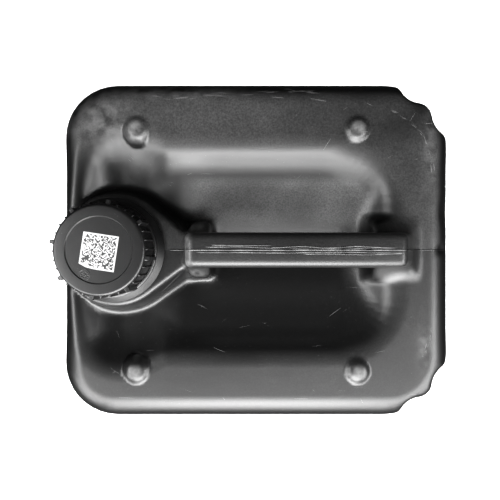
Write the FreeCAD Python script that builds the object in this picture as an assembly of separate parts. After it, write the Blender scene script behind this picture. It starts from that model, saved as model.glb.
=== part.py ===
import FreeCAD, Part
import math
import os

# A stackable blow-moulded plastic can for engine oil, about 20 litres, with a screw cap.
# Millimetres. X runs from the neck (front, -X) to the back, Y across, +Z up.
# The origin is the centre of the footprint, on the plane that the can stands on.

# Body of the can
can_length = 295.0
can_width = 255.0
shoulder_height = 326.0
wall = 2.2
front_corner_radius = 42.0
back_corner_radius = 50.0
shoulder_radius = 20.0
base_edge_radius = 12.0

# Stepped back corners, which run down the whole height
step_from_side = 15.6
step_from_back = 14.2
side_step_start = 41.0
side_step_run = 8.0
back_step_start = 43.5
back_step_run = 10.5
step_rounding = 9.5
lobe_rounding = 11.5

# Hand recess in the top
recess_side_gap = 62.5
recess_back_gap = 57.5
recess_depth = 13.0
recess_sag = 13.0
recess_back_rounding = 27.0
recess_lip = 13.5
recess_draft = 4.0
recess_lip_height = 8.0
recess_lip_low_share = (0.45, 0.25)
recess_lip_high_share = (0.13, 0.6)

# Wider part of the recess, round the neck
moat_side_gap = 50.5
moat_front_gap = 34.0
moat_length = 12.0
moat_flare_length = 28.0
moat_slant = 12.5
moat_tip_half_width = 38.0
moat_rounding = 9.0

# Neck, and the drop-shaped base under it that points at the handle
neck_setback = 43.1
boss_rise = 1.0
boss_top_radius = 40.5
boss_foot_spread = 5.5
boss_edge_rounding = 3.5
boss_edge_midway_share = 0.3
boss_tip_half_width = 13.0
boss_tip_length = 60.4
neck_bore_radius = 24.3
neck_wall = 2.6
neck_height = 27.3
thread_pitch = 5.0
thread_depth = 1.7
thread_root_width = 2.4
thread_tip_width = 1.2
thread_turns = 2.0
thread_top_gap = 2.6
thread_bury = 0.4
stop_bead_depth = 2.6
stop_bead_height = 1.6
stop_bead_drop = 0.4
rim_chamfer = 0.6

# Handle
handle_rise = 34.0
handle_width = 23.6
handle_thickness = 24.0
handle_front_gap = 58.8
handle_back_gap = 49.3
handle_back_run = 18.0
front_post_thickness = 13.5
front_post_lean = 2.0
back_post_gap = 61.5
handle_edge_rounding = 4.5
handle_end_rounding = 7.0
grip_corner_rounding = 8.0
foot_flare = 12.5
foot_flare_height = 17.0
foot_flare_start = 1.0
foot_flare_knee_share = 0.65

# Stacking pips on the shoulder and their dimples in the base
pip_radius = 9.3
pip_height = 4.0
pip_from_side = 38.3
pip_from_front = 59.2
pip_from_back = 73.2
dimple_clearance = 1.0

# Underside and label panels
base_pocket_depth = 6.0
base_rim_width = 52.0
panel_depth = 1.2
panel_side_gap = 52.0
panel_bottom_gap = 55.0
panel_top_gap = 75.0
panel_rounding = 16.0

# Screw cap
cap_clearance = 0.4
cap_wall = 2.3
cap_top_thickness = 2.2
cap_taper = 0.6
cap_edge_rounding = 2.2
cap_height = 22.0
cap_dish_radius = 22.3
cap_dish_depth = 0.7
lip_width = 2.5
lip_height = 3.0
lip_relief_chamfer = 1.0
grip_rib_count = 8
grip_rib_width = 2.6
grip_rib_depth = 2.9
grip_rib_turn = 35.0
fine_ribs_between = 3
fine_rib_width = 0.9
fine_rib_depth = 1.4
cap_thread_turns = 1.6
cap_thread_lag = 2.1

# Sealing disc in the cap
liner_thickness = 1.5
liner_edge_clearance = 0.5

# Tear-off ring under the cap
ring_gap = 0.8
ring_wall = 2.0
ring_collar_wall = 2.2
ring_clearance = 0.35
ring_rim_radius = 37.8
ring_rim_drop = 3.2
ring_rim_height = 1.6
ring_top_setback = 0.3

# Square paper label on the cap
label_side = 23.6
label_thickness = 0.15
label_turn = -8.6
label_offset = 1.2
label_cut_side = 2.4
label_cut_bottom = 10.0

# Places worked out from the sizes above
half_length = can_length / 2
half_width = can_width / 2
neck_x = -half_length + neck_setback
recess_half_width = half_width - recess_side_gap
moat_half_width = half_width - moat_side_gap
boss_height = shoulder_height + boss_rise
rim_height = boss_height + neck_height
neck_radius = neck_bore_radius + neck_wall
thread_radius = neck_radius + thread_depth
bead_radius = neck_radius + stop_bead_depth
cap_inner_radius = thread_radius + cap_clearance
cap_radius = cap_inner_radius + cap_wall
cap_ceiling = rim_height + liner_thickness
cap_top = cap_ceiling + cap_top_thickness
cap_bottom = cap_top - cap_height
lip_radius = cap_radius + lip_width
lip_inner_radius = bead_radius + cap_clearance
ring_top = cap_bottom - ring_gap
ring_inner_radius = neck_radius + ring_clearance
handle_top = shoulder_height + handle_rise
handle_front = neck_x + handle_front_gap
handle_back = half_length - handle_back_gap
grip_underside = handle_top - handle_thickness
recess_floor = shoulder_height - recess_depth
recess_low = recess_floor - recess_sag
deep = recess_low - 4 * wall

# Limits for the shapes themselves
least_rounding = 0.5
edge_tolerance = 0.01

UP = FreeCAD.Vector(0, 0, 1)


def point(x, y, z=0.0):
    return FreeCAD.Vector(x, y, z)


def mirrored(half):
    """Corners of a shape that is the same on both sides of the X axis, from one side's corners."""
    return half + [(x, -y, r) for x, y, r in reversed(half)]


def turn_at(corners, i):
    """Unit directions into and out of a corner, and the signed turn between them."""
    x0, y0 = corners[i - 1][:2]
    x1, y1 = corners[i][:2]
    x2, y2 = corners[(i + 1) % len(corners)][:2]
    before = point(x1 - x0, y1 - y0).normalize()
    after = point(x2 - x1, y2 - y1).normalize()
    turn = math.atan2(before.cross(after).z, before.dot(after))
    return before, after, turn


def grown(corners, distance):
    """A counterclockwise outline moved outwards by a distance, or inwards if it is negative."""
    result = []
    for i, (x, y, radius) in enumerate(corners):
        before, after, turn = turn_at(corners, i)
        outward = before.cross(UP) + after.cross(UP)
        outward.normalize()
        shift = distance / math.cos(turn / 2)
        change = distance if turn > 0 else -distance
        new_radius = max(radius + change, least_rounding) if radius else 0.0
        result.append((x + outward.x * shift, y + outward.y * shift, new_radius))
    return result


def outline(corners, height=0.0):
    """A closed wire at one height, with each corner rounded to its own radius."""
    stops = []
    for i, (x, y, radius) in enumerate(corners):
        before, after, turn = turn_at(corners, i)
        corner = point(x, y, height)
        reach = radius * math.tan(abs(turn) / 2)
        start = corner - before * reach
        end = corner + after * reach
        inward = after - before
        if inward.Length:
            inward.normalize()
        middle = corner + inward * (radius / math.cos(turn / 2) - radius)
        stops.append((start, middle, end, radius > 0))
    edges = []
    for i, (start, middle, end, rounded) in enumerate(stops):
        if rounded:
            edges.append(Part.Arc(start, middle, end).toShape())
        following = stops[(i + 1) % len(stops)][0]
        if (following - end).Length > 1e-6:
            edges.append(Part.LineSegment(end, following).toShape())
    return Part.Wire(edges)


def prism(corners, low, high):
    return Part.Face(outline(corners, low)).extrude(UP * (high - low))


def side_profile(corners, half):
    """A closed X, Z profile, given as corners, drawn out across the can."""
    face = Part.Face(outline(corners))
    face.rotate(point(0, 0), point(1, 0), 90)
    face.translate(point(0, half))
    return face.extrude(point(0, -2 * half))


def end_profile(corners, start, end):
    """A closed Y, Z profile, given as corners, drawn out along the can."""
    face = Part.Face(outline(corners))
    face.rotate(point(0, 0), point(1, 1, 1), 120)
    face.translate(point(start, 0))
    return face.extrude(point(end - start, 0))


def turned(profile, x=0.0, y=0.0):
    """A solid of revolution about an upright axis, from radius and height pairs."""
    points = [point(x + radius, y, height) for radius, height in profile]
    face = Part.Face(Part.makePolygon(points + points[:1]))
    return face.revolve(point(x, y), UP, 360)


def body_corners():
    """Plan of the walls, with the steps in the two back corners."""
    side_step = half_length - side_step_start
    back_step = half_width - back_step_start
    lobe_x = half_length - step_from_back
    lobe_y = half_width - step_from_side
    return mirrored([
        (half_length, back_step, step_rounding),
        (lobe_x, back_step + back_step_run, step_rounding),
        (lobe_x, lobe_y, lobe_rounding),
        (side_step + side_step_run, lobe_y, step_rounding),
        (side_step, half_width, step_rounding),
        (-half_length, half_width, front_corner_radius),
    ])


def pillow(inset):
    """The walls, base and shoulders as one block with rounded edges, before anything is cut."""
    corners = mirrored([
        (half_length, half_width, back_corner_radius),
        (-half_length, half_width, front_corner_radius),
    ])
    block = prism(grown(corners, -inset), inset, shoulder_height - inset)
    top_edges = [e for e in block.Edges if e.BoundBox.ZMin > shoulder_height / 2]
    block = block.makeFillet(shoulder_radius - inset, top_edges)
    low_edges = [e for e in block.Edges if e.BoundBox.ZMax < inset + edge_tolerance]
    block = block.makeFillet(base_edge_radius - inset, low_edges)
    return block.common(prism(grown(body_corners(), -inset), 0, shoulder_height))


def recess_corners():
    """Plan of the hand recess at its floor, wider at the front where the neck stands in it."""
    back = half_length - recess_back_gap
    moat_front = -half_length + moat_front_gap
    moat_back = moat_front + moat_length
    return mirrored([
        (back, recess_half_width, recess_back_rounding),
        (moat_back + moat_flare_length, recess_half_width, recess_back_rounding),
        (moat_back, moat_half_width, moat_rounding * 2),
        (moat_front, moat_half_width, moat_rounding),
        (moat_front - moat_slant, moat_tip_half_width, 0.0),
    ])


def boss_corners():
    """Plan of the neck's base at its top: a circle round the neck, drawn out to a blunt tip."""
    reach = math.hypot(boss_tip_length, boss_tip_half_width)
    lean = math.atan2(boss_tip_length, boss_tip_half_width) - math.acos(boss_top_radius / reach)
    knee = boss_top_radius * math.tan(lean / 2)
    return mirrored([
        (neck_x + boss_tip_length, boss_tip_half_width, 0.0),
        (neck_x + knee, boss_top_radius, boss_top_radius),
        (neck_x - boss_top_radius, boss_top_radius, boss_top_radius),
    ])


def boss(inset):
    """The base of the neck, which stands up in the recess and meets the front wall."""
    slope = boss_foot_spread / (recess_depth + boss_rise)
    midway = boss_edge_rounding * boss_edge_midway_share
    steps = [
        (deep, slope * (boss_height - deep)),
        (boss_height - boss_edge_rounding, slope * boss_edge_rounding),
        (boss_height - midway, -midway),
        (boss_height, -boss_edge_rounding),
    ]
    wires = [outline(grown(boss_corners(), spread - inset), z - inset) for z, spread in steps]
    solid = Part.makeLoft(wires, True, True)
    return solid.common(prism(grown(body_corners(), -inset), 0, boss_height))


def recess(inset):
    """What the hand recess takes out of the block: drafted sides, a rounded lip and a sagging floor."""
    roll = recess_lip - recess_draft
    steps = [
        (deep, -recess_draft / 2),
        (recess_floor, 0.0),
        (shoulder_height - recess_lip_height, recess_draft),
    ]
    for depth_share, spread_share in (recess_lip_low_share, recess_lip_high_share):
        height = shoulder_height - recess_lip_height * depth_share
        steps.append((height, recess_draft + roll * spread_share))
    steps += [
        (shoulder_height, recess_lip),
        (shoulder_height + 2 * wall, recess_lip + 6 * wall),
    ]
    wires = [outline(grown(recess_corners(), spread + inset), z - inset) for z, spread in steps]
    sides = Part.makeLoft(wires, True, True)
    sag_radius = (recess_half_width ** 2 + recess_sag ** 2) / (2 * recess_sag)
    start = point(-can_length, 0, recess_low + sag_radius)
    sag = Part.makeCylinder(sag_radius + inset, 2 * can_length, start, point(1, 0))
    return sides.common(sag)


def handle(inset):
    """The grip with its two posts, flared where they stand in the recess."""
    back_post = half_length - back_post_gap
    side = [
        (handle_front, handle_top, handle_end_rounding),
        (handle_front - front_post_lean, deep, 0.0),
        (handle_front + front_post_thickness, deep, 0.0),
        (handle_front + front_post_thickness, grip_underside, grip_corner_rounding),
        (back_post, grip_underside, grip_corner_rounding),
        (back_post, deep, 0.0),
        (handle_back + handle_back_run, deep, 0.0),
        (handle_back + handle_back_run, shoulder_height, grip_corner_rounding),
        (handle_back, handle_top, handle_end_rounding),
    ]
    half = handle_width / 2
    waist = grip_underside - foot_flare_start
    knee = waist - foot_flare_height / 2
    across = mirrored_across([
        (half, handle_top, handle_edge_rounding),
        (half, waist, foot_flare_height / 3),
        (half + foot_flare * foot_flare_knee_share, knee, foot_flare_height / 4),
        (half + foot_flare, knee - foot_flare_height, 0.0),
        (half + foot_flare, deep, 0.0),
    ])
    long_way = side_profile(grown(side, -inset), can_width / 4)
    return long_way.common(end_profile(grown(across, -inset), -half_length, half_length))


def mirrored_across(half):
    """Corners of a Y, Z profile from those of its right side, listed from the top down."""
    left = [(-y, z, r) for y, z, r in half]
    return left + list(reversed(half))


def pip_places():
    return [
        (x, y)
        for x in (-half_length + pip_from_front, half_length - pip_from_back)
        for y in (-half_width + pip_from_side, half_width - pip_from_side)
    ]


def pips(inset):
    """The four domes on the shoulder."""
    ball = (pip_radius ** 2 + pip_height ** 2) / (2 * pip_height)
    centre = shoulder_height + pip_height - ball
    return [Part.makeSphere(ball - inset, point(x, y, centre)) for x, y in pip_places()]


def underside(inset):
    """What the base loses: a shallow pocket inside the rim, and a dimple under each pip."""
    corners = mirrored([
        (half_length, half_width, back_corner_radius),
        (-half_length, half_width, front_corner_radius),
    ])
    inner = grown(corners, -base_rim_width)
    wires = [
        outline(grown(inner, inset), 0),
        outline(grown(inner, inset - base_pocket_depth), base_pocket_depth + inset),
    ]
    cuts = [Part.makeLoft(wires, True, True)]
    ball = (pip_radius ** 2 + pip_height ** 2) / (2 * pip_height) + dimple_clearance
    centre = pip_height + dimple_clearance - ball
    cuts += [Part.makeSphere(ball + inset, point(x, y, centre)) for x, y in pip_places()]
    return cuts


def panels(inset):
    """The shallow label panel on each wide side."""
    length = can_length - 2 * panel_side_gap
    low = panel_bottom_gap
    high = shoulder_height - panel_top_gap
    corners = [
        (-length / 2, low, panel_rounding),
        (length / 2, low, panel_rounding),
        (length / 2, high, panel_rounding),
        (-length / 2, high, panel_rounding),
    ]
    plate = side_profile(grown(corners, inset), panel_depth + inset)
    return [plate.translated(point(0, side * half_width)) for side in (-1, 1)]


def blown_form(inset):
    """The can as a full block, moved inwards by a wall thickness for the hollow inside it."""
    form = pillow(inset)
    form = form.cut(recess(inset))
    form = form.fuse([boss(inset), handle(inset)] + pips(inset))
    return form.cut(underside(inset) + panels(inset))


def helix_ridge(wall_radius, low, turns, out, start_angle):
    """A thread ridge that stands out of a round wall (out 1) or into it (out -1), rooted in the wall."""
    slope = (thread_root_width - thread_tip_width) / thread_depth
    root = thread_root_width + slope * thread_bury
    radius = wall_radius - out * thread_bury
    crest = wall_radius + out * thread_depth
    path = Part.makeHelix(thread_pitch, thread_pitch * turns, radius)
    profile = Part.makePolygon([
        point(radius, 0, -root / 2),
        point(crest, 0, -thread_tip_width / 2),
        point(crest, 0, thread_tip_width / 2),
        point(radius, 0, root / 2),
        point(radius, 0, -root / 2),
    ])
    ridge = Part.Wire(path.Edges).makePipeShell([profile], True, True)
    ridge.rotate(point(0, 0), UP, start_angle)
    ridge.translate(point(neck_x, 0, low))
    return ridge


def make_container():
    """The blown can with its neck, thread and the bead that holds the tear-off ring."""
    hollow = blown_form(0.0).cut(blown_form(wall))
    bead_low = cap_bottom - stop_bead_drop
    neck = turned([
        (neck_bore_radius, boss_height - wall),
        (neck_radius + wall, boss_height - wall),
        (neck_radius + wall, boss_height),
        (neck_radius, boss_height),
        (neck_radius, bead_low),
        (bead_radius, bead_low),
        (bead_radius, bead_low + stop_bead_height / 2),
        (neck_radius, bead_low + stop_bead_height * 1.5),
        (neck_radius, rim_height - rim_chamfer),
        (neck_radius - rim_chamfer, rim_height),
        (neck_bore_radius, rim_height),
    ], neck_x)
    thread_low = rim_height - thread_top_gap - thread_pitch * thread_turns
    ridge = helix_ridge(neck_radius, thread_low, thread_turns, 1, 0.0)
    bore = Part.makeCylinder(neck_bore_radius, rim_height - deep, point(neck_x, 0, deep))
    return hollow.cut(bore).fuse([neck, ridge])


def make_cap():
    """The screw cap: skirt, lip, dished top, grip ribs and the thread inside."""
    relief = cap_bottom + stop_bead_height * 1.5 + cap_clearance
    body = turned([
        (0, cap_ceiling),
        (cap_inner_radius, cap_ceiling),
        (cap_inner_radius, relief + lip_relief_chamfer),
        (lip_inner_radius, relief),
        (lip_inner_radius, cap_bottom),
        (lip_radius, cap_bottom),
        (lip_radius, cap_bottom + lip_height),
        (cap_radius, cap_bottom + lip_height),
        (cap_radius - cap_taper, cap_top),
        (0, cap_top),
    ], neck_x)
    rim = [e for e in body.Edges if e.BoundBox.ZMin > cap_top - edge_tolerance]
    body = body.makeFillet(cap_edge_rounding, rim)
    dish = Part.makeCylinder(cap_dish_radius, cap_dish_depth, point(neck_x, 0, cap_top - cap_dish_depth))
    low = cap_bottom + lip_height / 2
    high = cap_top - cap_edge_rounding
    start = cap_inner_radius + cap_wall / 2
    ribs = []
    spots = grip_rib_count * (fine_ribs_between + 1)
    for i in range(spots):
        large = i % (fine_ribs_between + 1) == 0
        width = grip_rib_width if large else fine_rib_width
        reach = cap_radius + (grip_rib_depth if large else fine_rib_depth) - start
        rib = Part.makeBox(reach, width, high - low, point(start, -width / 2, low))
        rib.rotate(point(0, 0), UP, grip_rib_turn + i * 360.0 / spots)
        rib.translate(point(neck_x, 0))
        ribs.append(rib)
    thread_low = rim_height - thread_top_gap - thread_pitch * cap_thread_turns - cap_thread_lag
    start_angle = 360.0 * (thread_turns - cap_thread_turns)
    ridge = helix_ridge(cap_inner_radius, thread_low, cap_thread_turns, -1, start_angle)
    return body.cut(dish).fuse(ridge).fuse(ribs)


def make_liner():
    """The soft disc that seals the mouth of the neck."""
    return Part.makeCylinder(
        cap_inner_radius - liner_edge_clearance, liner_thickness, point(neck_x, 0, rim_height)
    )


def make_ring():
    """The torn-off ring: a collar round the neck with a skirt that flares out to its rim."""
    rim_top = ring_top - ring_rim_drop
    rim_low = rim_top - ring_rim_height
    return turned([
        (ring_inner_radius, boss_height),
        (ring_inner_radius + ring_collar_wall, boss_height),
        (ring_inner_radius + ring_collar_wall, ring_top - ring_wall),
        (lip_radius - ring_wall, ring_top - ring_wall),
        (ring_rim_radius - ring_wall, rim_low),
        (ring_rim_radius, rim_low),
        (ring_rim_radius, rim_top),
        (lip_radius - ring_top_setback, ring_top),
        (ring_inner_radius, ring_top),
    ], neck_x)


def make_label():
    """The square sticker in the cap's dish, with one cut corner."""
    half = label_side / 2
    corners = [
        (-half, -half + label_cut_side, 0.0),
        (-half + label_cut_bottom, -half, 0.0),
        (half, -half, 0.0),
        (half, half, 0.0),
        (-half, half, 0.0),
    ]
    floor = cap_top - cap_dish_depth
    label = prism(corners, floor, floor + label_thickness)
    label.rotate(point(0, 0), UP, label_turn)
    label.translate(point(neck_x, -label_offset))
    return label


def save(node, shape):
    """Write one solid to its file, and print what it came out as."""
    box = shape.optimalBoundingBox(True)
    print(node, "valid", shape.isValid(), "solids", len(shape.Solids), "cm3", round(shape.Volume / 1000, 2))
    print("  from", round(box.XMin, 2), round(box.YMin, 2), round(box.ZMin, 2),
          "to", round(box.XMax, 2), round(box.YMax, 2), round(box.ZMax, 2))
    shape.Solids[0].exportStep(os.path.join("parts", node + ".step"))


os.makedirs("parts", exist_ok=True)
capacity = blown_form(wall).Volume / 1e6
print("litres inside the shell", round(capacity, 2))
save("container", make_container())
save("tamper_ring", make_ring())
save("screw_cap", make_cap())
save("cap_liner", make_liner())
save("cap_label", make_label())
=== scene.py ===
import math
import bpy
import numpy as np
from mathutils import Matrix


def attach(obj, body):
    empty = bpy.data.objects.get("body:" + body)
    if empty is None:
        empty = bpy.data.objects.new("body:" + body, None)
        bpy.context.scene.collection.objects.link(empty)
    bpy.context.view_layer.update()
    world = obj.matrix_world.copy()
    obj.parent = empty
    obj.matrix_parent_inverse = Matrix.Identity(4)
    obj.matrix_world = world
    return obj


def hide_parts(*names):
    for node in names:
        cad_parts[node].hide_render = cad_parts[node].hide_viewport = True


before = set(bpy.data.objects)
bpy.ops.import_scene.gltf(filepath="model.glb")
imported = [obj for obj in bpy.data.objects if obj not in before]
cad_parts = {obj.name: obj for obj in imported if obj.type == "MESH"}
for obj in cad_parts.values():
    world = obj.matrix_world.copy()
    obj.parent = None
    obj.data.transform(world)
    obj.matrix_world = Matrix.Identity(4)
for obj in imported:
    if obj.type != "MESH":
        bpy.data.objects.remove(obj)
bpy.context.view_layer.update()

# The can: one blow-moulded shell of black polyethylene, about 2 mm thick, with a sunk hand recess,
# a hollow handle, four stacking pips, fluted back corners and a round neck base, all blown in one.
# It is described as one soft form in millimetres, measured from the middle of its footprint.
millimetre = 0.001
can_length, can_width, shoulder = 295.0, 255.0, 326.0
shoulder_rounding, base_rounding = 20.0, 12.0
shell_wall = 2.2
neck_x = -104.4

front, back, side = -can_length / 2, can_length / 2, can_width / 2
plain_plan = [(back, side, 50), (front, side, 42), (front, -side, 42), (back, -side, 50)]
fluted_corner = [
    (back, side - 43.5, 9.5),
    (back - 14.2, side - 33, 9.5),
    (back - 14.2, side - 15.6, 11.5),
    (back - 33, side - 15.6, 9.5),
    (back - 41, side, 9.5),
    (front, side, 42),
]
recess_side = [
    (87, 61, 26),
    (-71, 61, 26),
    (-95, 71.5, 16),
    (-111, 73, 14),
    (-122, 31, 0),
]
recess_foot = shoulder - 13.0
recess_low = shoulder - 27.0
recess_fall, front_fall, recess_valley = 0.32, 0.25, 10.0
recess_lean = 1.15
recess_edge, recess_inner, recess_inner_front, recess_inner_back = 7, 3.5, 4, 6
boss_top, boss_radius, boss_slope = shoulder + 1.0, 41.0, 0.34
boss_edge, boss_foot, boss_foot_deep = 3.0, 1.6, 4
boss_tip, boss_tip_half = 60.4, 6.0
boss_reach = math.hypot(boss_tip, boss_tip_half)
boss_lean = math.atan2(boss_tip, boss_tip_half) - math.acos(boss_radius / boss_reach)
boss_side = [
    (neck_x + boss_tip, boss_tip_half, 2),
    (neck_x + boss_radius * math.tan(boss_lean / 2), boss_radius, boss_radius),
    (neck_x - boss_radius, boss_radius, boss_radius),
]
handle_top, handle_underside, handle_half = shoulder + 34.0, shoulder + 10.0, 11.8
handle_edge, handle_foot = 5, 8
crown_drop, crown_width = 0.6, 120
post_low = shoulder - 40.0
post_flare, post_flare_height = 9.5, 17
handle_side = [
    (-48.2, handle_top, 6),
    (-50.2, post_low, 0),
    (-34.1, post_low, 0),
    (-34.1, handle_underside, 8),
    (86.0, handle_underside, 8),
    (86.0, post_low, 0),
    (116.2, post_low, 0),
    (116.2, shoulder, 8),
    (98.2, handle_top, 7),
]
pip_places = [(x, y) for x in (-88.3, 74.3) for y in (-89.2, 89.2)]
pip_radius, pip_height = 9.3, 4.0
pip_flat, pip_edge, pip_foot = 0.5, 1.5, 1.2
dimple_clearance = 1.0
panel_depth, panel_edge = 1.2, 4
pocket_depth, pocket_edge = 6, 8
wall_hollow, wall_hollow_edge = 0.6, 40
dents = [(138, 0.5, 3.5, 4, 1.6), (140, 28, 8, 4.5, 1.3)]


def both_sides(corners):
    """A plan that is the same on both sides, from the corners of its +Y side."""
    return corners + [(x, -y, radius) for x, y, radius in reversed(corners)]


def rounded(corners, steps=10):
    """The closed line round a counterclockwise set of corners, each rounded to its own radius."""
    points = []
    for i, (x, y, radius) in enumerate(corners):
        here = np.array([x, y], float)
        before = here - np.array(corners[i - 1][:2], float)
        after = np.array(corners[(i + 1) % len(corners)][:2], float) - here
        before /= np.linalg.norm(before)
        after /= np.linalg.norm(after)
        turn = math.atan2(before[0] * after[1] - before[1] * after[0], before @ after)
        if not radius:
            points.append(here)
            continue
        start = here - before * radius * math.tan(abs(turn) / 2)
        inward = np.array([-before[1], before[0]]) * math.copysign(1, turn)
        centre = start + inward * radius
        for t in np.linspace(0, turn, steps):
            arm = start - centre
            c, s = math.cos(t), math.sin(t)
            points.append(centre + np.array([arm[0] * c - arm[1] * s, arm[0] * s + arm[1] * c]))
    return np.array(points)


def distance_to(loop, x, y):
    """How far each point is from a closed line, negative inside it."""
    x, y = np.broadcast_arrays(x, y)
    nearest = np.full(x.shape, 1e9)
    inside = np.zeros(x.shape, bool)
    for (ax, ay), (bx, by) in zip(loop, np.roll(loop, -1, axis=0)):
        run_x, run_y = bx - ax, by - ay
        away_x, away_y = x - ax, y - ay
        length = run_x * run_x + run_y * run_y
        if length < 1e-12:
            continue
        along = np.clip((away_x * run_x + away_y * run_y) / length, 0, 1)
        nearest = np.minimum(nearest, (away_x - along * run_x) ** 2 + (away_y - along * run_y) ** 2)
        crossing = (ay > y) != (by > y)
        if run_y:
            inside ^= crossing & (away_x < away_y * run_x / run_y)
    return np.sqrt(nearest) * np.where(inside, -1.0, 1.0)


def soft_join(a, b, width):
    """Two forms joined, with a rounded inner corner."""
    mix = np.clip(0.5 + 0.5 * (b - a) / width, 0, 1)
    return b + (a - b) * mix - width * mix * (1 - mix)


def soft_cut(a, b, width):
    """What two forms have in common, with a rounded outer edge."""
    return -soft_join(-a, -b, width)


def step_up(t):
    t = np.clip(t, 0, 1)
    return t * t * (3 - 2 * t)


plain_loop = rounded(plain_plan)
fluted_loop = rounded(both_sides(fluted_corner))
recess_loop = rounded(both_sides(recess_side))
handle_loop = rounded(handle_side)
boss_loop = rounded(both_sides(boss_side), 24)
panel_loop = rounded([(-95.5, 55, 16), (95.5, 55, 16), (95.5, 251, 16), (-95.5, 251, 16)])
pocket_loop = rounded([(-95.5, -75.5, 6), (95.5, -75.5, 6), (95.5, 75.5, 6), (-95.5, 75.5, 6)])


def can_form(x, y, z):
    """Distance from the can's skin, negative inside the can."""
    plan = distance_to(plain_loop, x, y)
    flutes = distance_to(fluted_loop, x, y)
    out = plan + shoulder_rounding
    over = z - shoulder + shoulder_rounding
    form = np.minimum(np.maximum(out, over), 0) + np.hypot(np.maximum(out, 0), np.maximum(over, 0))
    form = form - shoulder_rounding
    out = plan + base_rounding
    under = base_rounding - z
    foot = np.minimum(np.maximum(out, under), 0)
    foot = foot + np.hypot(np.maximum(out, 0), np.maximum(under, 0))
    form = np.maximum(form, foot - base_rounding)
    flute_edge = np.clip(flutes - plan, 0.01, 7)
    form = soft_cut(form, flutes, flute_edge)

    forward = step_up((-55 - x) / 30)
    fall = recess_fall + (front_fall - recess_fall) * forward
    floor = recess_low + fall * (np.hypot(y, recess_valley) - recess_valley) - z
    wall = distance_to(recess_loop, x, y) - recess_lean * (z - recess_foot)
    wall = wall / math.hypot(1, recess_lean)
    backward = step_up((x - 50) / 25)
    inner = recess_inner + recess_inner_front * forward + recess_inner_back * backward
    form = soft_cut(form, -soft_cut(wall, floor, inner), recess_edge)

    cone = distance_to(boss_loop, x, y) - boss_slope * (boss_top - z)
    boss = soft_cut(cone / math.hypot(1, boss_slope), z - boss_top, boss_edge)
    boss = np.maximum(boss, post_low - z)
    deep = step_up((boss_top - 4 - z) / 8)
    form = soft_join(form, boss, boss_foot + boss_foot_deep * deep)

    half = handle_half + post_flare * step_up((handle_underside - z) / post_flare_height)
    crown = crown_drop + y * y / crown_width
    handle = soft_cut(np.abs(y) - half, distance_to(handle_loop, x, z + crown), handle_edge)
    form = soft_join(form, handle, handle_foot)

    ball = (pip_radius ** 2 + pip_height ** 2) / (2 * pip_height)
    for px, py in pip_places:
        across = np.hypot(x - px, y - py)
        dome = np.hypot(across, z - shoulder - pip_height + ball) - ball
        dome = soft_cut(dome, z - shoulder - pip_height + pip_flat, pip_edge)
        form = soft_join(form, dome, pip_foot)
        hollow = ball + dimple_clearance
        dimple = np.hypot(across, z - pip_height - dimple_clearance + hollow) - hollow
        form = soft_cut(form, -dimple, pip_edge)

    wide = np.abs(y) > 100
    panel = distance_to(panel_loop, x, z)
    form = form + np.where(wide, panel_depth * step_up(-panel / panel_edge), 0)
    pocket = distance_to(pocket_loop, x, y)
    form = form + np.where(z < 40, pocket_depth * step_up(-pocket / pocket_edge), 0)
    sunk = wall_hollow * step_up((95 - np.abs(y)) / wall_hollow_edge)
    form = form + np.where(np.abs(x) > 125, sunk, 0)
    for dx, dy, length, width, depth in dents:
        near = ((x - dx) / width) ** 2 + ((y - dy) / length) ** 2
        form = form + np.where(z > shoulder - 25, depth * np.exp(-near), 0)
    return np.maximum(form, flutes)


def skin_of(form, xs, ys, zs):
    """Corners and four-sided faces of the surface where a form is zero, on a grid of samples."""
    axes = (xs, ys, zs)
    values = form(xs[:, None, None], ys[None, :, None], zs[None, None, :])
    cells = np.array(values.shape) - 1
    sums = np.zeros((cells.prod(), 3))
    hits = np.zeros(cells.prod())
    faces = []
    for axis in range(3):
        near = np.take(values, range(0, values.shape[axis] - 1), axis)
        far = np.take(values, range(1, values.shape[axis]), axis)
        index = np.argwhere((near < 0) != (far < 0))
        where = tuple(index.T)
        t = near[where] / (near[where] - far[where])
        crossing = np.stack([axes[k][index[:, k]] for k in range(3)], 1).astype(float)
        step = axes[axis][index[:, axis] + 1] - axes[axis][index[:, axis]]
        crossing[:, axis] += t * step
        first, second = (axis + 1) % 3, (axis + 2) % 3
        around = []
        for back_first, back_second in ((1, 1), (0, 1), (0, 0), (1, 0)):
            cell = index.copy()
            cell[:, first] -= back_first
            cell[:, second] -= back_second
            number = (cell[:, 0] * cells[1] + cell[:, 1]) * cells[2] + cell[:, 2]
            np.add.at(sums, number, crossing)
            np.add.at(hits, number, 1)
            around.append(number)
        quads = np.stack(around, 1)
        leaving = near[where] < 0
        quads[~leaving] = quads[~leaving][:, ::-1]
        faces.append(quads)
    used = np.flatnonzero(hits)
    renumber = np.zeros(cells.prod(), int)
    renumber[used] = np.arange(len(used))
    return sums[used] / hits[used][:, None], renumber[np.concatenate(faces)]


def slope_of(form, points, reach=0.05):
    x, y, z = points.T
    slopes = [
        form(x + reach, y, z) - form(x - reach, y, z),
        form(x, y + reach, z) - form(x, y - reach, z),
        form(x, y, z + reach) - form(x, y, z - reach),
    ]
    return np.stack(slopes, 1) / (2 * reach)


def settle(form, points, rounds=2):
    """Points moved onto the surface along its slope, and their outward directions."""
    for _ in range(rounds):
        slope = slope_of(form, points)
        size = np.maximum((slope ** 2).sum(1), 0.2)
        move = form(*points.T) / size
        points = points - slope * np.clip(move, -1, 1)[:, None]
    slope = slope_of(form, points)
    return points, slope / np.maximum(np.linalg.norm(slope, axis=1), 1e-9)[:, None]


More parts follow.
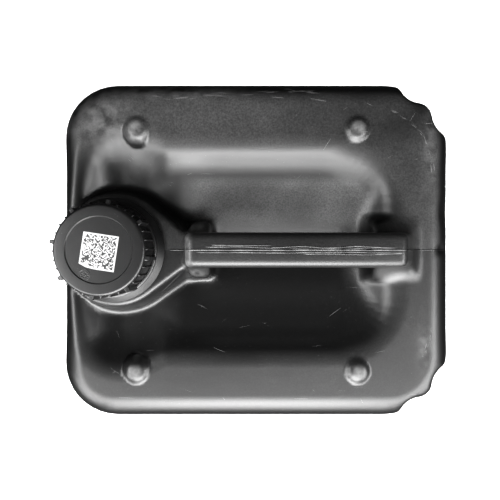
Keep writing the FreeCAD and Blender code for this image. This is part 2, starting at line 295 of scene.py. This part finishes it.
def make_piece(name, points, faces, normals=None):
    """A Blender piece from points in millimetres."""
    mesh = bpy.data.meshes.new(name)
    mesh.from_pydata((np.asarray(points) * millimetre).tolist(), [], [list(f) for f in faces])
    mesh.validate()
    mesh.shade_smooth()
    if normals is not None:
        mesh.normals_split_custom_set_from_vertices(normals.tolist())
    piece = bpy.data.objects.new(name, mesh)
    bpy.context.scene.collection.objects.link(piece)
    return piece


def spread(*stretches):
    """Sample places along an axis, from (start, end, spacing) stretches."""
    parts = [np.arange(start, end - spacing / 2, spacing) for start, end, spacing in stretches]
    return np.concatenate(parts + [[stretches[-1][1]]])


outside = skin_of(
    can_form,
    spread((front - 2.5, back + 2.5, 2.1)),
    spread((-side - 2.5, -17.4, 2.2), (-17.4, 17.4, 1.45), (17.4, side + 2.5, 2.2)),
    spread((-3, 14, 2.1), (14, shoulder - 36, 11), (shoulder - 36, handle_top + 3, 2.0)),
)
outside_points, outside_normals = settle(can_form, outside[0])


def hollow_form(x, y, z):
    return can_form(x, y, z) + shell_wall


inside = skin_of(
    hollow_form,
    spread((front, back, 6)),
    spread((-side, -19, 6), (-19, 19, 3.8), (19, side, 6)),
    spread((-3, 18, 4), (18, shoulder - 40, 26), (shoulder - 40, handle_top, 4)),
)
inside_points, inside_normals = settle(hollow_form, inside[0])

# The mouth is open: the skin stops inside the wall of the neck.
bore_radius, neck_radius = 24.3, 26.9
cut_radius = (bore_radius + neck_radius) / 2


def open_mouth(points, faces):
    """Leaves out the faces under the bore, and brings the rim they leave into the neck's wall."""
    away = np.hypot(points[:, 0] - neck_x, points[:, 1])
    gone = (away < cut_radius) & (points[:, 2] > recess_foot)
    keep = ~gone[faces].any(1)
    rim = np.zeros(len(points), bool)
    rim[faces[~keep].ravel()] = True
    rim &= ~gone
    points = points.copy()
    scale = (cut_radius / np.maximum(away, 1e-9))[:, None]
    points[rim, :2] = ((points[:, :2] - [neck_x, 0]) * scale + [neck_x, 0])[rim]
    return points, faces[keep]


outside_points, outside_faces = open_mouth(outside_points, outside[1])
inside_points, inside_faces = open_mouth(inside_points, inside[1])
can_points = np.concatenate([outside_points, inside_points])
can_faces = np.concatenate([outside_faces, inside_faces[:, ::-1] + len(outside_points)])
can_normals = np.concatenate([outside_normals, -inside_normals])
can = make_piece("can_shell", can_points, can_faces, can_normals)


def wear_at(points):
    """How worn the skin is at each point, from 0 to 1."""
    x, y, z = points.T
    wear = np.zeros(len(points))
    for px, py in pip_places:
        on_pip = step_up((6.5 - np.hypot(x - px, y - py)) / 4) * (z > shoulder + 1.5)
        wear = np.maximum(wear, on_pip)
    end = step_up((-43 - x) / 3) * step_up((z - shoulder - 20) / 6)
    wear = np.maximum(wear, end)
    foot = step_up((6 - np.abs(x + 44)) / 4) * step_up((4 - np.abs(np.abs(y) - 17)) / 4)
    wear = np.maximum(wear, 0.8 * foot * (z > shoulder - 14))
    corner = np.exp(-((x + 112) / 24) ** 2 - ((y - 96) / 16) ** 2)
    edge = np.exp(-((x + 60) / 45) ** 2 - ((y - 116) / 5) ** 2)
    right = np.exp(-((x - 128) / 5) ** 2 - ((y - 75) / 30) ** 2)
    low_right = np.exp(-((x - 124) / 5) ** 2 - ((y + 72) / 16) ** 2)
    rubs = np.maximum(0.55 * corner, 0.4 * edge)
    rubs = np.maximum(rubs, np.maximum(0.45 * right, 0.5 * low_right))
    return np.maximum(wear, np.where(z > shoulder - 14, rubs, 0))


def haze_and_painted_light_at(points):
    """Where the skin is lightened: a dull film on the flats of the shoulder, which is partly painted
    light, as it is stronger on the +Y side and weaker on the handle and the -Y side; and a painted
    pool of light on the +Y side of the recess floor beside the handle, where the handle shades the
    floor."""
    x, y, z = points.T
    # Partly painted light: the flats are lightened more on the +Y side than on the -Y side and the
    # handle.
    flats = np.where((z > shoulder + 12) | (y < 0), 0.45, 1.2)
    flats = flats * step_up((z - shoulder + 3.5) / 3)
    # Painted light: a pale patch on the +Y recess floor beside the handle, standing in for light.
    painted_floor_light = step_up((y - 14) / 14) * step_up((60 - y) / 12)
    painted_floor_light = painted_floor_light * step_up((x + 62) / 25) * step_up((98 - x) / 20)
    return flats + 3.8 * painted_floor_light * step_up((shoulder - 10 - z) / 3)


# The second attribute holds a dull film and painted light.
for name, values in (("wear", wear_at(can_points)), ("haze_and_painted_light", haze_and_painted_light_at(can_points))):
    data = can.data.attributes.new(name, "FLOAT", "POINT")
    data.data.foreach_set("value", values.astype(np.float32))


def black_plastic(name, grey, gloss, grain, worn_and_lit=False):
    """Black polyethylene: one body colour, a finely pitted surface, and, where asked, pale scuffs
    where worn and a pale film that is partly dull plastic and partly painted light.
    """
    material = bpy.data.materials.new(name)
    material.use_nodes = True
    nodes, links = material.node_tree.nodes, material.node_tree.links
    shader = nodes["Principled BSDF"]
    shader.inputs["Base Color"].default_value = (grey, grey, grey * 1.03, 1)
    shader.inputs["Roughness"].default_value = gloss
    place = nodes.new("ShaderNodeTexCoord")

    def noise(scale, detail, stretch=None):
        texture = nodes.new("ShaderNodeTexNoise")
        texture.inputs["Scale"].default_value = scale
        texture.inputs["Detail"].default_value = detail
        if stretch:
            squeeze = nodes.new("ShaderNodeMapping")
            squeeze.inputs["Scale"].default_value = stretch
            links.new(place.outputs["Object"], squeeze.inputs["Vector"])
            links.new(squeeze.outputs["Vector"], texture.inputs["Vector"])
        else:
            links.new(place.outputs["Object"], texture.inputs["Vector"])
        return texture.outputs["Fac"]

    def combine(first, second, how="ADD"):
        node = nodes.new("ShaderNodeMath")
        node.operation = how
        for socket, value in zip(node.inputs, (first, second)):
            if isinstance(value, float):
                socket.default_value = value
            else:
                links.new(value, socket)
        return node.outputs["Value"]

    def ramp(value, low, high):
        node = nodes.new("ShaderNodeMapRange")
        node.inputs["From Min"].default_value = low
        node.inputs["From Max"].default_value = high
        links.new(value, node.inputs["Value"])
        return node.outputs["Result"]

    height = combine(noise(1500, 3), combine(noise(55, 3), 2.0, "MULTIPLY"))
    bump = nodes.new("ShaderNodeBump")
    bump.inputs["Strength"].default_value = grain
    bump.inputs["Distance"].default_value = 0.0002
    links.new(height, bump.inputs["Height"])
    links.new(bump.outputs["Normal"], shader.inputs["Normal"])
    speck = ramp(noise(700, 6), 0.68, 0.74)
    pale = combine(speck, 0.3, "MULTIPLY")
    if worn_and_lit:
        worn = nodes.new("ShaderNodeAttribute")
        worn.attribute_name = "wear"
        streak = ramp(noise(130, 12), 0.36, 0.66)
        rub = combine(worn.outputs["Fac"], streak, "MULTIPLY")
        # Pale film read from the second attribute: partly dull plastic, partly painted light on the
        # +Y flats and the recess floor.
        dulling_and_light = nodes.new("ShaderNodeAttribute")
        dulling_and_light.attribute_name = "haze_and_painted_light"
        blotch = combine(ramp(noise(16, 8), 0.2, 0.9), ramp(noise(900, 3), 0.12, 0.72), "MULTIPLY")
        blotch = combine(blotch, 0.55, "MULTIPLY")
        haze_and_painted_light = combine(dulling_and_light.outputs["Fac"], blotch, "MULTIPLY")
        pale = combine(combine(pale, rub, "MAXIMUM"), haze_and_painted_light, "ADD")
    colour = nodes.new("ShaderNodeMix")
    colour.data_type = "RGBA"
    colour.inputs["A"].default_value = (grey, grey, grey * 1.03, 1)
    colour.inputs["B"].default_value = (grey + 0.09, grey + 0.09, grey + 0.09, 1)
    links.new(pale, colour.inputs["Factor"])
    links.new(colour.outputs["Result"], shader.inputs["Base Color"])
    return material


can_black = black_plastic("can_black", 0.001, 0.36, 0.3, worn_and_lit=True)
can.data.materials.append(can_black)
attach(can, "container")
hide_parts("container")

# The flash: a thin seam of the can's own plastic where the two halves of the mould met. It runs down
# the back and the front and along the top of the handle, where the pinched plastic smeared into a few
# wavy lines that are rubbed pale.
seam_half, seam_height = 0.5, 0.55
neck_clear = 39.5


def on_top(lines):
    """Plan lines laid down onto the top of the can."""
    x, y = np.concatenate([np.asarray(line, float) for line in lines]).T
    z = np.full(len(x), handle_top + 1.0)
    for _ in range(45):
        z -= 0.7 * can_form(x, y, z)
    ends = np.cumsum([len(line) for line in lines])[:-1]
    return np.split(np.stack([x, y, z], 1), ends)


def ridges(name, lines, halves, rises):
    """Thin ridges that follow lines on the can, each with its half width and height."""
    ends = np.cumsum([len(line) for line in lines])[:-1]
    skin, out = settle(can_form, np.concatenate(lines), 1)
    points, faces, first = [], [], 0
    for line, up, half, rise in zip(np.split(skin, ends), np.split(out, ends), halves, rises):
        across = np.cross(up, np.gradient(line, axis=0))
        across /= np.maximum(np.linalg.norm(across, axis=1), 1e-9)[:, None]
        place = np.arange(len(line))
        fade = np.minimum(1, np.minimum(place, place[::-1]) / 4)[:, None]
        crest, aside, sunk = line + up * rise * fade, across * half, up * 0.1
        points.append(np.stack([line + aside - sunk, crest, line - aside - sunk], 1).reshape(-1, 3))
        for a in range(first, first + 3 * len(line) - 3, 3):
            faces += [(a, a + 3, a + 4, a + 1), (a + 1, a + 4, a + 5, a + 2)]
        first += 3 * len(line)
    return make_piece(name, np.concatenate(points), faces)


rng = np.random.default_rng(3)
seam_x = np.arange(neck_x + neck_clear, back - 4, 0.8)
smears = [np.stack([seam_x, 0 * seam_x], 1)]
for offset, start, end in (
    (1.9, -34, 92),
    (-1.6, -40, 96),
    (0.9, 20, 80),
    (3.0, -30, 10),
    (-2.6, 30, 95),
):
    x = np.arange(start, end, 0.8)
    wave = 0
    for _ in range(4):
        swing, length, shift = rng.uniform(0.1, 0.35), rng.uniform(4, 22), rng.uniform(0, 6)
        wave = wave + swing * np.sin(x / length + shift)
    smears.append(np.stack([x, offset + wave], 1))
bend = np.linspace(0.65, 0, 8)
wall_z = np.arange(shoulder - shoulder_rounding - 4, base_rounding + 1, -6.0)
back_x = np.concatenate([back - shoulder_rounding + 19.4 * np.cos(bend), 0 * wall_z + back - 0.6])
back_z = np.concatenate([shoulder - shoulder_rounding + 20 * np.sin(bend), wall_z])
front_z = wall_z[wall_z < post_low - 3]
seams = on_top(smears)
seams.append(np.stack([back_x, 0 * back_x, back_z], 1))
seams.append(np.stack([0 * front_z + front + 0.6, 0 * front_z, front_z], 1))
seam_halves = [seam_half] + [0.4] * 5 + [seam_half] * 2
seam_rises = [seam_height] + [0.35] * 5 + [0.3] * 2
flash = ridges("mould_flash", seams, seam_halves, seam_rises)
rubbed_above = (handle_top - 4) * millimetre
rubbed = flash.data.attributes.new("wear", "FLOAT", "POINT")
rubbed.data.foreach_set("value", [float(v.co.z > rubbed_above) for v in flash.data.vertices])


def part_of_can(piece):
    """Gives a piece the can's own plastic and makes it move with the can."""
    piece.data.materials.append(can_black)
    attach(piece, "container")


part_of_can(flash)

# The vent marks: small raised lines of the can's own plastic on the shoulder, where the air left the
# mould through slots. Two of the four groups stand in a fine ring.
vent_length, vent_gap, vent_half, vent_ring = 5.2, 1.9, 0.22, 4.3
vents, vent_rises = [], []
for vx, vy, lines_along_y, ringed in (
    (13.6, 92, False, False),
    (110, 53.7, False, False),
    (113.6, -53, True, True),
    (12.9, -94.9, True, True),
):
    for k in (-1, 0, 1):
        t = np.linspace(-vent_length / 2, vent_length / 2, 9)
        beside = k * vent_gap + 0 * t
        line = [vx + beside, vy + t] if lines_along_y else [vx + t, vy + beside]
        vents.append(np.stack(line, 1))
        vent_rises.append(0.22)
    if ringed:
        t = np.linspace(0, 2 * math.pi, 40)
        vents.append(np.stack([vx + vent_ring * np.cos(t), vy + vent_ring * np.sin(t)], 1))
        vent_rises.append(0.15)
vent_marks = ridges("vent_marks", on_top(vents), [vent_half] * len(vents), vent_rises)
part_of_can(vent_marks)

# The ribs of the neck's base: a low rib along each of its straight flanks, and fine lines where its
# foot meets the recess. They are moulded in one with the can.
flank_ends = np.array([[-73.8, -34.2], [-53.4, -14.8]])
flank = np.linspace(flank_ends[0], flank_ends[1], 24)
foot_line = np.array([[-103, -61], [-90, -48.5], [-77, -35.5], [-66, -26]])
foot_t = np.linspace(0, 3, 40)
foot_curve = np.stack([np.interp(foot_t, range(4), foot_line[:, k]) for k in (0, 1)], 1)
flank_lines = [flank, flank * [1, -1], foot_curve * [1, -1]]
flank_lines += [foot_curve[14:] * [1, -1] + [1.2, 1.6], flank[2:] + [5, -6.5]]
rib_halves, rib_rises = [1.5, 1.5, 0.35, 0.3, 0.3], [0.8, 0.8, 0.2, 0.2, 0.2]
base_ribs = ridges("neck_base_ribs", on_top(flank_lines), rib_halves, rib_rises)
part_of_can(base_ribs)

# The scratches: hair-thin pale cuts in the skin of the shoulder and the recess, from handling. They
# lie along the edges that rub on other cans, and here and there on the flats.
scratch_arcs = [
    [(97, 104), (110, 97), (123, 85), (129, 67), (131, 55)],
    [(130, -55), (126, -74), (121, -80)],
    [(-27, 115), (20, 118), (54, 117)],
    [(-20, 116), (-60, 112), (-84, 114)],
]
scratches = []
for arc in scratch_arcs:
    arc = np.array(arc, float)
    for _ in range(16):
        start = rng.uniform(0, 0.85)
        t = np.linspace(start, start + rng.uniform(0.03, 0.14), 10) * (len(arc) - 1)
        line = np.stack([np.interp(t, range(len(arc)), arc[:, k]) for k in (0, 1)], 1)
        scratches.append(line + rng.normal(0, 0.9, 2))
for _ in range(60):
    heading = rng.normal(0, 0.7)
    line = np.linspace(0, rng.uniform(2, 14), 8)[:, None] * [math.cos(heading), math.sin(heading)]
    line = line + [rng.uniform(-120, 130), rng.uniform(-118, 118)]
    if np.hypot(line[:, 0] - neck_x, line[:, 1]).min() > 48 and np.abs(line[:, 1]).min() > 26:
        scratches.append(line)
scratch_halves = rng.uniform(0.1, 0.25, len(scratches))
scratch_rises = [0.06] * len(scratches)
scratch_lines = ridges("scratches", on_top(scratches), scratch_halves, scratch_rises)


def plain_finish(name, colour, roughness):
    """A material of one colour and one roughness."""
    material = bpy.data.materials.new(name)
    material.use_nodes = True
    shader = material.node_tree.nodes["Principled BSDF"]
    shader.inputs["Base Color"].default_value = (*colour, 1)
    shader.inputs["Roughness"].default_value = roughness
    return material


scratch_lines.data.materials.append(plain_finish("scratch_grey", (0.14, 0.14, 0.14), 0.6))
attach(scratch_lines, "container")

# The neck: the thick round mouth of the can, moulded in one with it from the same black plastic. It
# has a right-hand thread for the cap, and a bead under it that holds the tear-off ring down.
neck_low, neck_rim = shoulder - 2.0, shoulder + 28.3
bead_radius, bead_low = 29.5, shoulder + 9.6
thread_pitch, thread_depth = 5.0, 1.7
thread_turns, thread_top_gap = 2.0, 2.6
lathe_steps = 160


def lathe(name, profile, axis_x=neck_x, steps=lathe_steps, swell=None):
    """A ring-shaped piece turned from a closed outline of (radius, height) pairs."""
    profile = np.array(profile, float)
    angles = np.linspace(0, 2 * math.pi, steps, endpoint=False)
    radius = np.repeat(profile[None, :, 0], steps, 0)
    height = np.repeat(profile[None, :, 1], steps, 0)
    if swell:
        radius = radius + swell(angles[:, None], radius, height)
    points = np.stack([
        axis_x + radius * np.cos(angles)[:, None],
        radius * np.sin(angles)[:, None],
        height,
    ], 2).reshape(-1, 3)
    count = len(profile)
    faces = []
    for i in range(steps):
        for j in range(count):
            a = i * count + j
            b = i * count + (j + 1) % count
            c = (i + 1) % steps * count + (j + 1) % count
            d = (i + 1) % steps * count + j
            faces.append((a, d, c, b))
    return make_piece(name, points, faces)


def sharpen(piece, degrees=35):
    """Keeps edges steeper than this crisp."""
    piece.data.set_sharp_from_angle(angle=math.radians(degrees))
    return piece


neck = sharpen(lathe("neck", [
    (bore_radius, neck_low),
    (neck_radius, neck_low),
    (neck_radius, bead_low),
    (bead_radius, bead_low),
    (bead_radius, bead_low + 0.8),
    (neck_radius, bead_low + 2.4),
    (neck_radius, neck_rim - 0.6),
    (neck_radius - 0.6, neck_rim),
    (bore_radius + 0.4, neck_rim),
    (bore_radius, neck_rim - 0.4),
]))


def thread(name, radius, depth, low, turns, start, root=2.6, tip=1.1):
    """A helical ridge round the neck's axis that runs out softly at both ends. It points inwards
    if its depth is negative."""
    steps = int(turns * 90)
    points, faces = [], []
    for i in range(steps + 1):
        t = i / steps
        fade = min(1, t * turns * 8, (1 - t) * turns * 8)
        angle = math.radians(start) + t * turns * 2 * math.pi
        z = low + t * turns * thread_pitch
        buried = -0.3 * math.copysign(1, depth)
        crest = depth * fade
        section = [(buried, -root / 2), (crest, -tip / 2), (crest, tip / 2), (buried, root / 2)]
        for out, up in section:
            r = radius + out
            points.append((neck_x + r * math.cos(angle), r * math.sin(angle), z + up))
    for i in range(steps):
        for j in range(4):
            a, b = 4 * i + j, 4 * i + (j + 1) % 4
            quad = (a, a + 4, b + 4, b)
            faces.append(quad if depth > 0 else quad[::-1])
    faces += [(0, 1, 2, 3), (4 * steps + 3, 4 * steps + 2, 4 * steps + 1, 4 * steps)]
    return sharpen(make_piece(name, points, faces))


thread_low = neck_rim - thread_top_gap - thread_pitch * thread_turns
neck_thread = thread("neck_thread", neck_radius, thread_depth, thread_low, thread_turns, 0)
part_of_can(neck)
part_of_can(neck_thread)

# The tear-off ring: black plastic, moulded with the cap and broken from it at the first opening. It
# stays on the neck, held down by the bead, and spreads into a sloped collar.
ring_black = black_plastic("ring_black", 0.002, 0.4, 0.3)
cap_low = shoulder + 10.0
ring_top = cap_low - 0.8
ring_inner, ring_rim, lip_radius = 27.25, 37.8, 33.8
ring = sharpen(lathe("tamper_ring", [
    (ring_inner, boss_top + 0.05),
    (ring_inner + 2.2, boss_top + 0.05),
    (ring_inner + 2.2, ring_top - 2),
    (lip_radius - 2, ring_top - 2),
    (ring_rim - 2, ring_top - 4.8),
    (ring_rim - 0.4, ring_top - 4.8),
    (ring_rim, ring_top - 4.4),
    (ring_rim, ring_top - 3.6),
    (ring_rim - 0.4, ring_top - 3.2),
    (lip_radius - 0.3, ring_top),
    (ring_inner, ring_top),
]))
ring.data.materials.append(ring_black)
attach(ring, "container")
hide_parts("tamper_ring")

# The sealing disc: soft white foam sheet, punched out round and pressed in under the cap's ceiling.
# It lies on the neck's rim when the cap is tight, and lifts off with the cap.
liner_radius, liner_thickness = 28.5, 1.5
liner = sharpen(lathe("cap_liner", [
    (0.01, neck_rim),
    (liner_radius, neck_rim),
    (liner_radius, neck_rim + liner_thickness),
    (0.01, neck_rim + liner_thickness),
], steps=96))
liner.data.materials.append(plain_finish("liner_white", (0.72, 0.72, 0.68), 0.7))
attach(liner, "liner")
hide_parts("cap_liner")

# The screw cap: moulded black plastic, with eight large grip ribs, three fine ribs between each pair,
# a lip at the foot, a slightly sunk middle with a small ring mark, and a thread inside.
cap_ceiling = neck_rim + liner_thickness
cap_top = cap_ceiling + 2.2
cap_inner, cap_radius = 29.0, 31.3
cap_taper = 0.6
large_ribs, fine_between, rib_turn = 8, 3, math.radians(35)
large_height, large_half, large_edge = 2.9, 1.75, 0.7
fine_height, fine_half, fine_edge = 1.3, 0.75, 0.5
dish_radius, dish_depth = 22.3, 0.7


def rib_swell(angle, radius, height):
    """How far the grip ribs stand out of the skirt at each angle."""
    pitch = 2 * math.pi / large_ribs
    fine_pitch = pitch / (fine_between + 1)
    turned = angle - rib_turn
    from_large = np.abs((turned + pitch / 2) % pitch - pitch / 2) * cap_radius
    from_fine = np.abs((turned + fine_pitch / 2) % fine_pitch - fine_pitch / 2) * cap_radius
    large = large_height * step_up((large_half - from_large) / large_edge)
    fine = fine_height * step_up((fine_half - from_fine) / fine_edge)
    upright = (radius > cap_radius - 1.0) & (radius < cap_radius + 0.5) & (height < cap_top - 2.0)
    return np.where(upright, np.maximum(large, fine), 0)


skirt_heights = np.linspace(cap_low + 3.0, cap_top - 2.2, 8)
skirt = [(cap_radius - cap_taper * (h - cap_low - 3) / 19, h) for h in skirt_heights]
top_edge = [
    (cap_radius - cap_taper - 2.2 + 2.2 * math.cos(t), cap_top - 2.2 + 2.2 * math.sin(t))
    for t in np.linspace(0.15, math.pi / 2, 8)
]
cap = sharpen(lathe("screw_cap", [
    (0.01, cap_ceiling),
    (cap_inner, cap_ceiling),
    (cap_inner, cap_low + 3.8),
    (bead_radius + 0.4, cap_low + 2.8),
    (bead_radius + 0.4, cap_low),
    (lip_radius - 0.3, cap_low),
    (lip_radius, cap_low + 0.3),
    (lip_radius, cap_low + 2.3),
    (lip_radius - 0.5, cap_low + 2.8),
    (cap_radius + 0.6, cap_low + 3.0),
] + skirt + top_edge + [
    (dish_radius + 0.3, cap_top),
    (dish_radius - 0.3, cap_top - dish_depth),
    (0.01, cap_top - dish_depth),
], steps=1024, swell=rib_swell), 40)
mark_x, mark_y, mark_radius = neck_x - 9.4, -16.4, 3.6
mark_low, mark_high = cap_top - dish_depth - 0.02, cap_top - dish_depth + 0.2


def small_ring(cx, cy, radius, half=0.3, steps=28):
    """A thin raised ring on the cap's sunk middle."""
    section = [(-half, mark_low), (-half * 0.4, mark_high), (half * 0.4, mark_high), (half, mark_low)]
    points, faces = [], []
    for i in range(steps):
        angle = 2 * math.pi * i / steps
        for out, z in section:
            r = radius + out
            points.append((cx + r * math.cos(angle), cy + r * math.sin(angle), z))
    for i in range(steps):
        for j in range(3):
            a, b = 4 * i + j, 4 * ((i + 1) % steps) + j
            faces.append((a, a + 1, b + 1, b))
    return points, faces


spots = [(mark_x, mark_y, mark_radius), (mark_x, mark_y, 0.8)]
for k in range(10):
    angle = 2 * math.pi * k / 10
    spots.append((mark_x + 2.3 * math.cos(angle), mark_y + 2.3 * math.sin(angle), 0.36))
mark_points, mark_faces = [], []
for x, y, radius in spots:
    ring_points, ring_faces = small_ring(x, y, radius)
    mark_faces += [tuple(len(mark_points) + k for k in face) for face in ring_faces]
    mark_points += ring_points
cap_mark = make_piece("moulded_mark", mark_points, mark_faces)
cap_thread_turns, cap_thread_drop = 1.6, 2.1
cap_thread_low = thread_low + thread_pitch * (thread_turns - cap_thread_turns) - cap_thread_drop
cap_thread_start = 360 * (thread_turns - cap_thread_turns)
cap_thread = thread(
    "cap_thread", cap_inner, -thread_depth, cap_thread_low, cap_thread_turns, cap_thread_start)
cap_black = black_plastic("cap_black", 0.003, 0.34, 0.4)
for piece in (cap, cap_thread, cap_mark):
    piece.data.materials.append(cap_black)
    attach(piece, "cap")
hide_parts("screw_cap")

# The sticker: a square of white label film on the cap's sunk middle, printed with small black cells
# at random, one corner cut. The real corner lifts; here the film lies flat.
label_side, label_turn, label_shift = 23.6, math.radians(-8.6), -1.2
label_floor, label_margin = cap_top - dish_depth, 1.1
label_points = [
    (-11.8, -9.4), (-7.0, -11.2), (-1.8, -11.8), (11.8, -11.8), (11.8, 11.8), (-11.8, 11.8),
]


def on_cap(points, height):
    c, s = math.cos(label_turn), math.sin(label_turn)
    return [(neck_x + x * c - y * s, label_shift + x * s + y * c, height) for x, y in points]


count = len(label_points)
label = sharpen(make_piece(
    "cap_label",
    on_cap(label_points, label_floor) + on_cap(label_points, label_floor + 0.1),
    [tuple(range(count - 1, -1, -1)), tuple(range(count, 2 * count))]
    + [(i, (i + 1) % count, (i + 1) % count + count, i + count) for i in range(count)],
))
label.data.materials.append(plain_finish("label_white", (0.36, 0.36, 0.36), 0.5))
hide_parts("cap_label")
rng = np.random.default_rng(7)
cells = 30
cell = (label_side - 2 * label_margin) / cells
dark = rng.random((cells, cells)) < 0.46
cell_points, cell_faces = [], []
for i, j in np.argwhere(dark):
    x = -label_side / 2 + label_margin + i * cell
    y = -label_side / 2 + label_margin + j * cell
    if x < -1.8 and y < -10.9 + (-1.8 - x) * 0.25:
        continue
    first = len(cell_points)
    corners = [(x, y), (x + cell, y), (x + cell, y + cell), (x, y + cell)]
    cell_points += on_cap(corners, label_floor + 0.15)
    cell_faces.append((first, first + 1, first + 2, first + 3))
print_cells = make_piece("label_print", cell_points, cell_faces)
print_cells.data.materials.append(plain_finish("print_black", (0.01, 0.01, 0.01), 0.5))
for piece in (label, print_cells):
    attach(piece, "cap")

# The studio: a pale floor that glows a little, soft light that comes mostly from the -Y side, and the
# camera straight above the can.
bpy.ops.mesh.primitive_plane_add(size=12, location=(0, 0, -0.0005))
floor = bpy.context.object
floor.name = "studio_floor"
floor_white = plain_finish("floor_white", (0.9, 0.9, 0.9), 0.9)
glow = floor_white.node_tree.nodes["Principled BSDF"].inputs
glow["Emission Color"].default_value = (1, 1, 1, 1)
glow["Emission Strength"].default_value = 0.7
floor.data.materials.append(floor_white)
floor.visible_glossy = False

world = bpy.data.worlds.new("studio")
bpy.context.scene.world = world
world.use_nodes = True
world.node_tree.nodes["Background"].inputs["Color"].default_value = (1, 1, 1, 1)
world.node_tree.nodes["Background"].inputs["Strength"].default_value = 0.015
light_distance = 1.6
can_top = shoulder * millimetre


def softbox(name, tilt, turn, width, height, power):
    """A softbox tilted from straight overhead, turned round the can and aimed at its top."""
    light = bpy.data.lights.new(name, "AREA")
    light.shape = "RECTANGLE"
    light.size, light.size_y = width, height
    light.energy = power
    lamp = bpy.data.objects.new(name, light)
    bpy.context.scene.collection.objects.link(lamp)
    t, a = math.radians(tilt), math.radians(turn)
    out = np.array([math.sin(t) * math.cos(a), math.sin(t) * math.sin(a), math.cos(t)])
    lamp.location = out * light_distance + [0, 0, can_top]
    lamp.rotation_euler = (t, 0, a + math.pi / 2)


for name, tilt, turn, width, height, power in (
    ("front_high", 32, 270, 1.2, 0.34, 3),
    ("front_middle", 44, 270, 1.2, 0.34, 28),
    ("front_low", 56, 270, 1.2, 0.34, 36),
    ("front_lower", 68, 270, 1.2, 0.34, 24),
    ("front_floor", 80, 270, 1.2, 0.34, 10),
    ("left_high", 52, 223, 0.7, 0.45, 16),
    ("left_low", 70, 223, 0.7, 0.45, 13),
    ("left_side", 46, 188, 0.6, 0.5, 16),
    ("right_high", 52, 315, 0.7, 0.45, 16),
    ("right_side", 50, 342, 0.5, 0.4, 14),
    ("right_low", 70, 317, 0.7, 0.45, 12),
):
    softbox(name, tilt, turn, width, height, power)
bpy.context.scene.view_settings.view_transform = "Standard"

camera_shift, camera_height = -0.0048, 0.295
camera_data = bpy.data.cameras.new("camera")
camera_data.lens = 28.87
camera_data.sensor_width = 36
camera = bpy.data.objects.new("camera", camera_data)
camera.location = (camera_shift, 0, can_top + camera_height)
bpy.context.scene.collection.objects.link(camera)
bpy.context.scene.camera = camera
